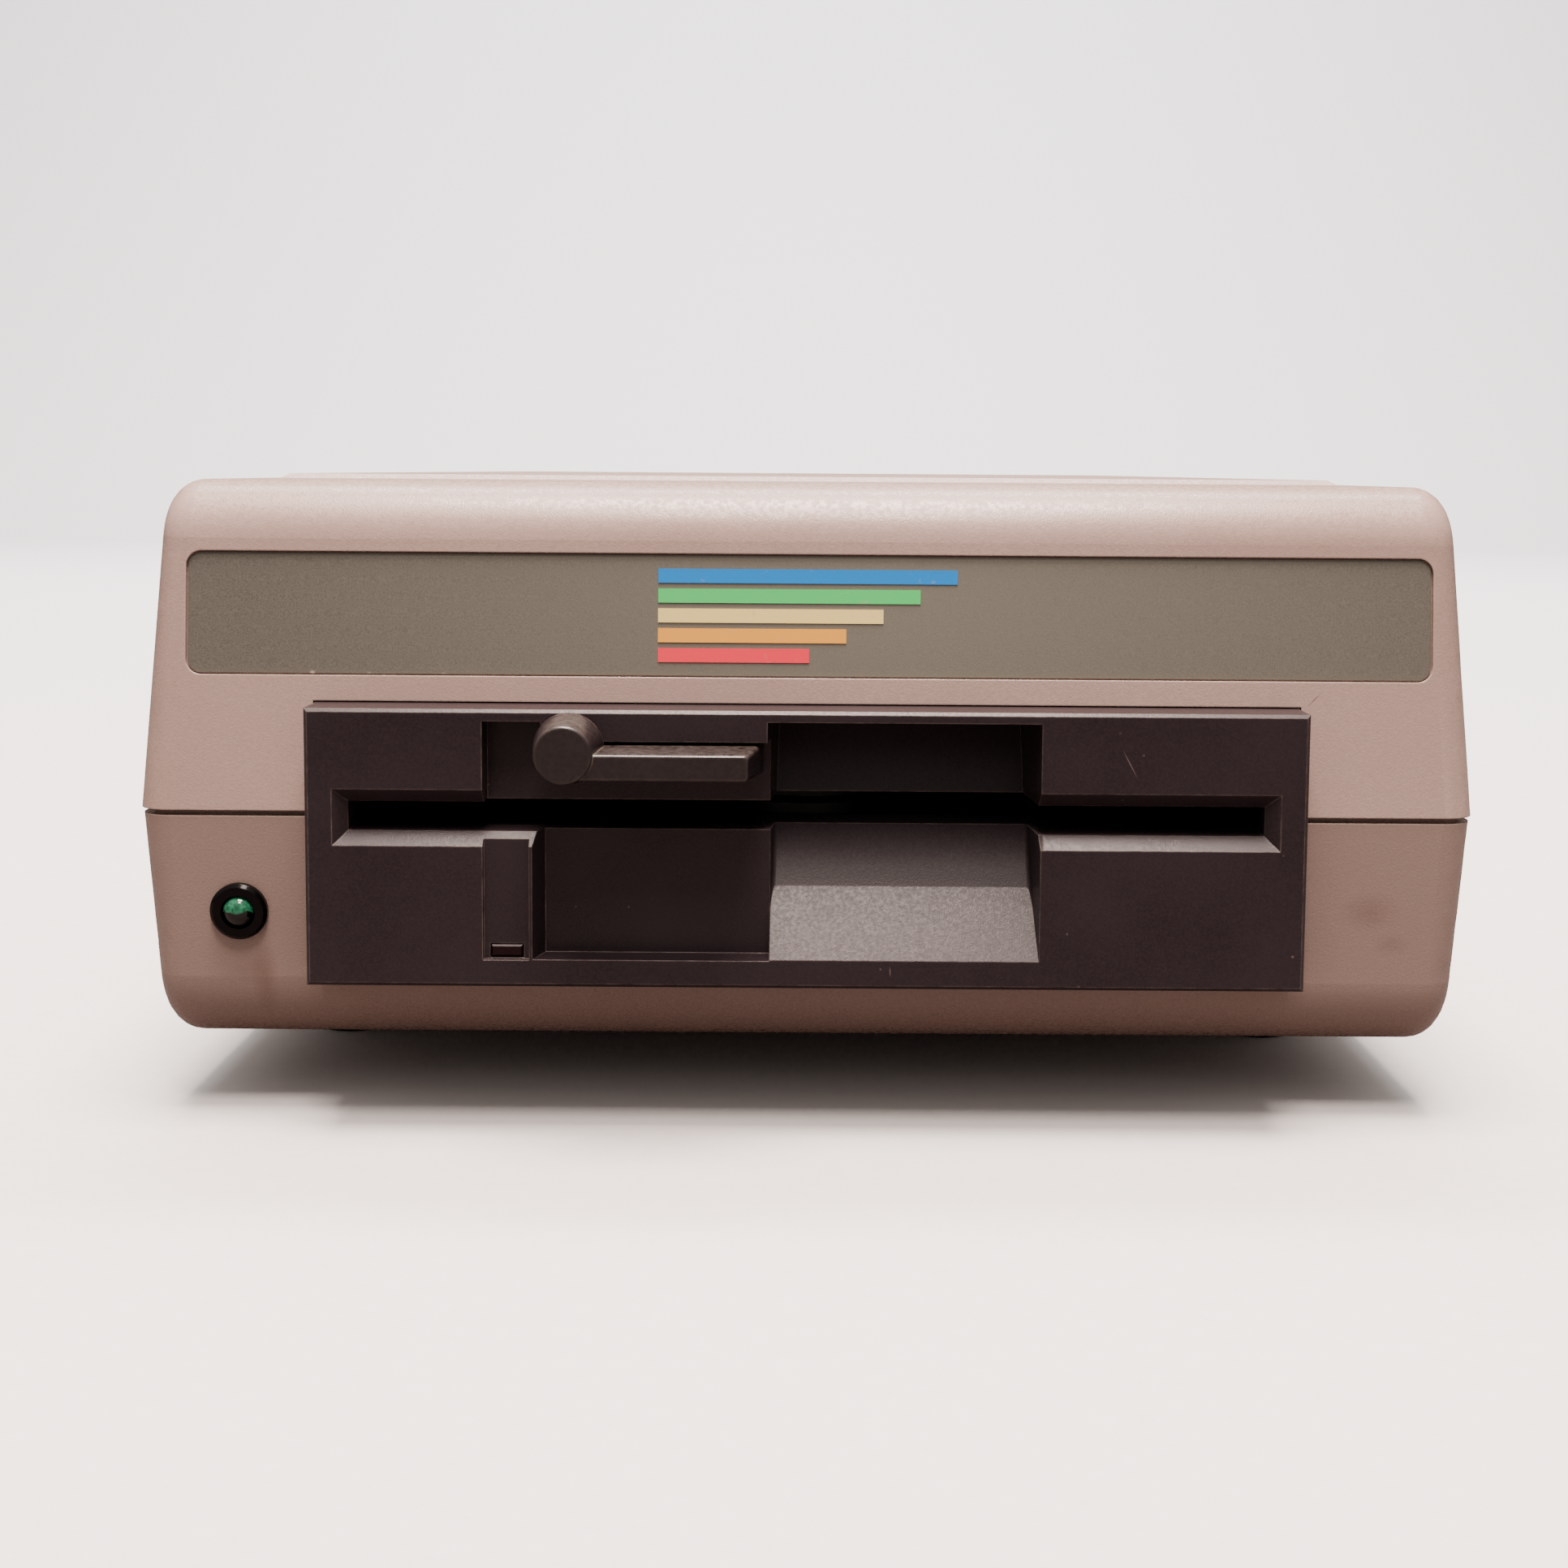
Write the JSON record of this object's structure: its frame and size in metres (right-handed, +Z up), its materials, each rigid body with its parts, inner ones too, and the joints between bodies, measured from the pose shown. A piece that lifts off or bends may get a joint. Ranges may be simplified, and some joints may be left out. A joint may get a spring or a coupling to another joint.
{
  "type": "external floppy disk drive",
  "caption": "Desktop floppy disk drive: drafted two-part case, black bezel with flared slot, finger notch and turning lever, belt-driven spindle, stepped head carriage, rear inlet and sockets.",
  "frame": {"origin": "under the middle of the whole drive, on the surface the feet stand on", "axes": "+X right seen from the front, +Y towards the rear panel, +Z up; the disk slot faces -Y"},
  "size_m": [0.2, 0.3822, 0.0972],
  "materials": {
    "case_abs": "fine textured warm beige moulded ABS",
    "foot_rubber": "black rubber",
    "screw_steel": "zinc plated steel",
    "badge_metal": "grey brown printed aluminium, fine grain",
    "badge_print": "plain colour bars",
    "clip_plastic": "black moulded clip",
    "lamp_green": "green lens",
    "lamp_red": "dark red lens",
    "bezel_abs": "black brown moulded plastic",
    "lever_abs": "black brown moulded plastic, semi gloss",
    "ground_steel": "ground steel shafts and pins",
    "cast_aluminium": "die cast",
    "turned_aluminium": "turned",
    "acetal": "natural acetal",
    "black_plastic": "black moulded plastic",
    "bearing_steel": "polished bearing steel",
    "belt_rubber": "black rubber belt",
    "motor_steel": "plated steel can",
    "brass": "turned brass",
    "band_steel": "spring steel band",
    "head_ceramic": "polished ceramic",
    "felt": "pressed felt",
    "sheet_steel": "zinc plated sheet steel",
    "board_laminate": "green glass-fibre laminate",
    "can_sleeve": "dark blue sleeve",
    "sink_aluminium": "black anodised extrusion",
    "core_steel": "varnished laminations",
    "coil_tape": "taped winding",
    "panel_paint": "dark painted steel panel",
    "socket_nickel": "nickel plated shell"
  },
  "bodies": {
    "case": {"top_cover": "case_abs", "base_case": "case_abs", "rubber_feet": "foot_rubber", "case_screws": "screw_steel", "badge_plate": "badge_metal", "badge_bars": "badge_print", "lamp_clip": "clip_plastic", "power_lamp": "lamp_green", "bezel": "bezel_abs", "activity_lamp": "lamp_red", "drive_chassis": "cast_aluminium", "disk_guide_left": "black_plastic", "disk_guide_right": "black_plastic", "notch_sensor": "black_plastic", "spindle_bearings": "bearing_steel", "drive_belt": "belt_rubber", "spindle_motor": "motor_steel", "stepper_motor": "motor_steel", "carriage_rails": "ground_steel", "clamp_pin": "ground_steel", "drive_tray": "sheet_steel", "tray_screws": "screw_steel", "chassis_screws": "screw_steel", "circuit_board": "board_laminate", "board_screws": "screw_steel", "chips": "black_plastic", "capacitors": "can_sleeve", "heat_sink": "sink_aluminium", "transformer_core": "core_steel", "transformer_coil": "coil_tape", "transformer_strap": "sheet_steel", "strap_screws": "screw_steel", "rear_panel": "panel_paint", "power_inlet": "black_plastic", "inlet_blades": "brass", "fuse_holder": "black_plastic", "switch_frame": "black_plastic", "socket_shells": "socket_nickel", "socket_inserts": "black_plastic", "panel_screws": "screw_steel"},
    "lever": {"lever": "lever_abs", "lever_shaft": "ground_steel", "lever_cam": "acetal"},
    "clamp_arm": {"clamp_arm": "sheet_steel"},
    "clamp_cone": {"clamp_cone": "acetal", "cone_pin": "ground_steel"},
    "spindle": {"spindle_hub": "turned_aluminium", "spindle_shaft": "ground_steel", "flywheel": "cast_aluminium"},
    "motor_rotor": {"motor_shaft": "ground_steel", "motor_pulley": "brass"},
    "capstan": {"stepper_capstan": "brass"},
    "carriage": {"head_carriage": "black_plastic", "head_band": "band_steel", "magnetic_head": "head_ceramic", "pad_arm_pin": "ground_steel"},
    "pad_arm": {"pad_arm": "black_plastic", "pressure_pad": "felt"},
    "rocker": {"rocker": "black_plastic"},
    "fuse_cap": {"fuse_cap": "black_plastic"}
  },
  "joints": [
    {"name": "lever_turn", "type": "hinge", "parent": "case", "child": "lever", "pos_m": [-0.0345, -0.18285, 0.058], "axis": [0, 1, 0], "range_deg": [0, 90]},
    {"name": "clamp_arm_lower", "type": "hinge", "parent": "case", "child": "clamp_arm", "pos_m": [-0.064, -0.10885, 0.0555], "axis": [0, 1, 0], "range_deg": [0, 8]},
    {"name": "clamp_cone_spin", "type": "hinge", "parent": "clamp_arm", "child": "clamp_cone", "pos_m": [0.00056, -0.10885, 0.05599], "axis": [-0.1392, 0, 0.9903], "continuous": true},
    {"name": "spindle_spin", "type": "hinge", "parent": "case", "child": "spindle", "pos_m": [0, -0.10885, 0.047], "axis": [0, 0, 1], "continuous": true},
    {"name": "motor_spin", "type": "hinge", "parent": "case", "child": "motor_rotor", "pos_m": [0.04, -0.02085, 0.047], "axis": [0, 0, 1], "continuous": true},
    {"name": "carriage_slide", "type": "slide", "parent": "case", "child": "carriage", "axis": [0, -1, 0], "range_m": [0, 0.018]},
    {"name": "capstan_turn", "type": "hinge", "parent": "case", "child": "capstan", "pos_m": [-0.042, -0.01685, 0.033], "axis": [0, 0, -1], "range_deg": [0, 122.5]},
    {"name": "pad_arm_lower", "type": "hinge", "parent": "carriage", "child": "pad_arm", "pos_m": [0, -0.0187, 0.053], "axis": [1, 0, 0], "range_deg": [0, 8]},
    {"name": "rocker_tilt", "type": "hinge", "parent": "case", "child": "rocker", "pos_m": [-0.07, 0.18175, 0.046], "axis": [1, 0, 0], "range_deg": [0, 20]},
    {"name": "fuse_cap_turn", "type": "hinge", "parent": "case", "child": "fuse_cap", "pos_m": [-0.016, 0.18515, 0.046], "axis": [0, 1, 0], "range_deg": [0, 90]}
  ],
  "couplings": [
    {"joint": "clamp_arm_lower", "follows": "lever_turn", "ratio": 0.088889},
    {"joint": "pad_arm_lower", "follows": "lever_turn", "ratio": 0.088889},
    {"joint": "motor_spin", "follows": "spindle_spin", "ratio": 4.4615},
    {"joint": "capstan_turn", "follows": "carriage_slide", "rad_per_m": 118.68}
  ]
}
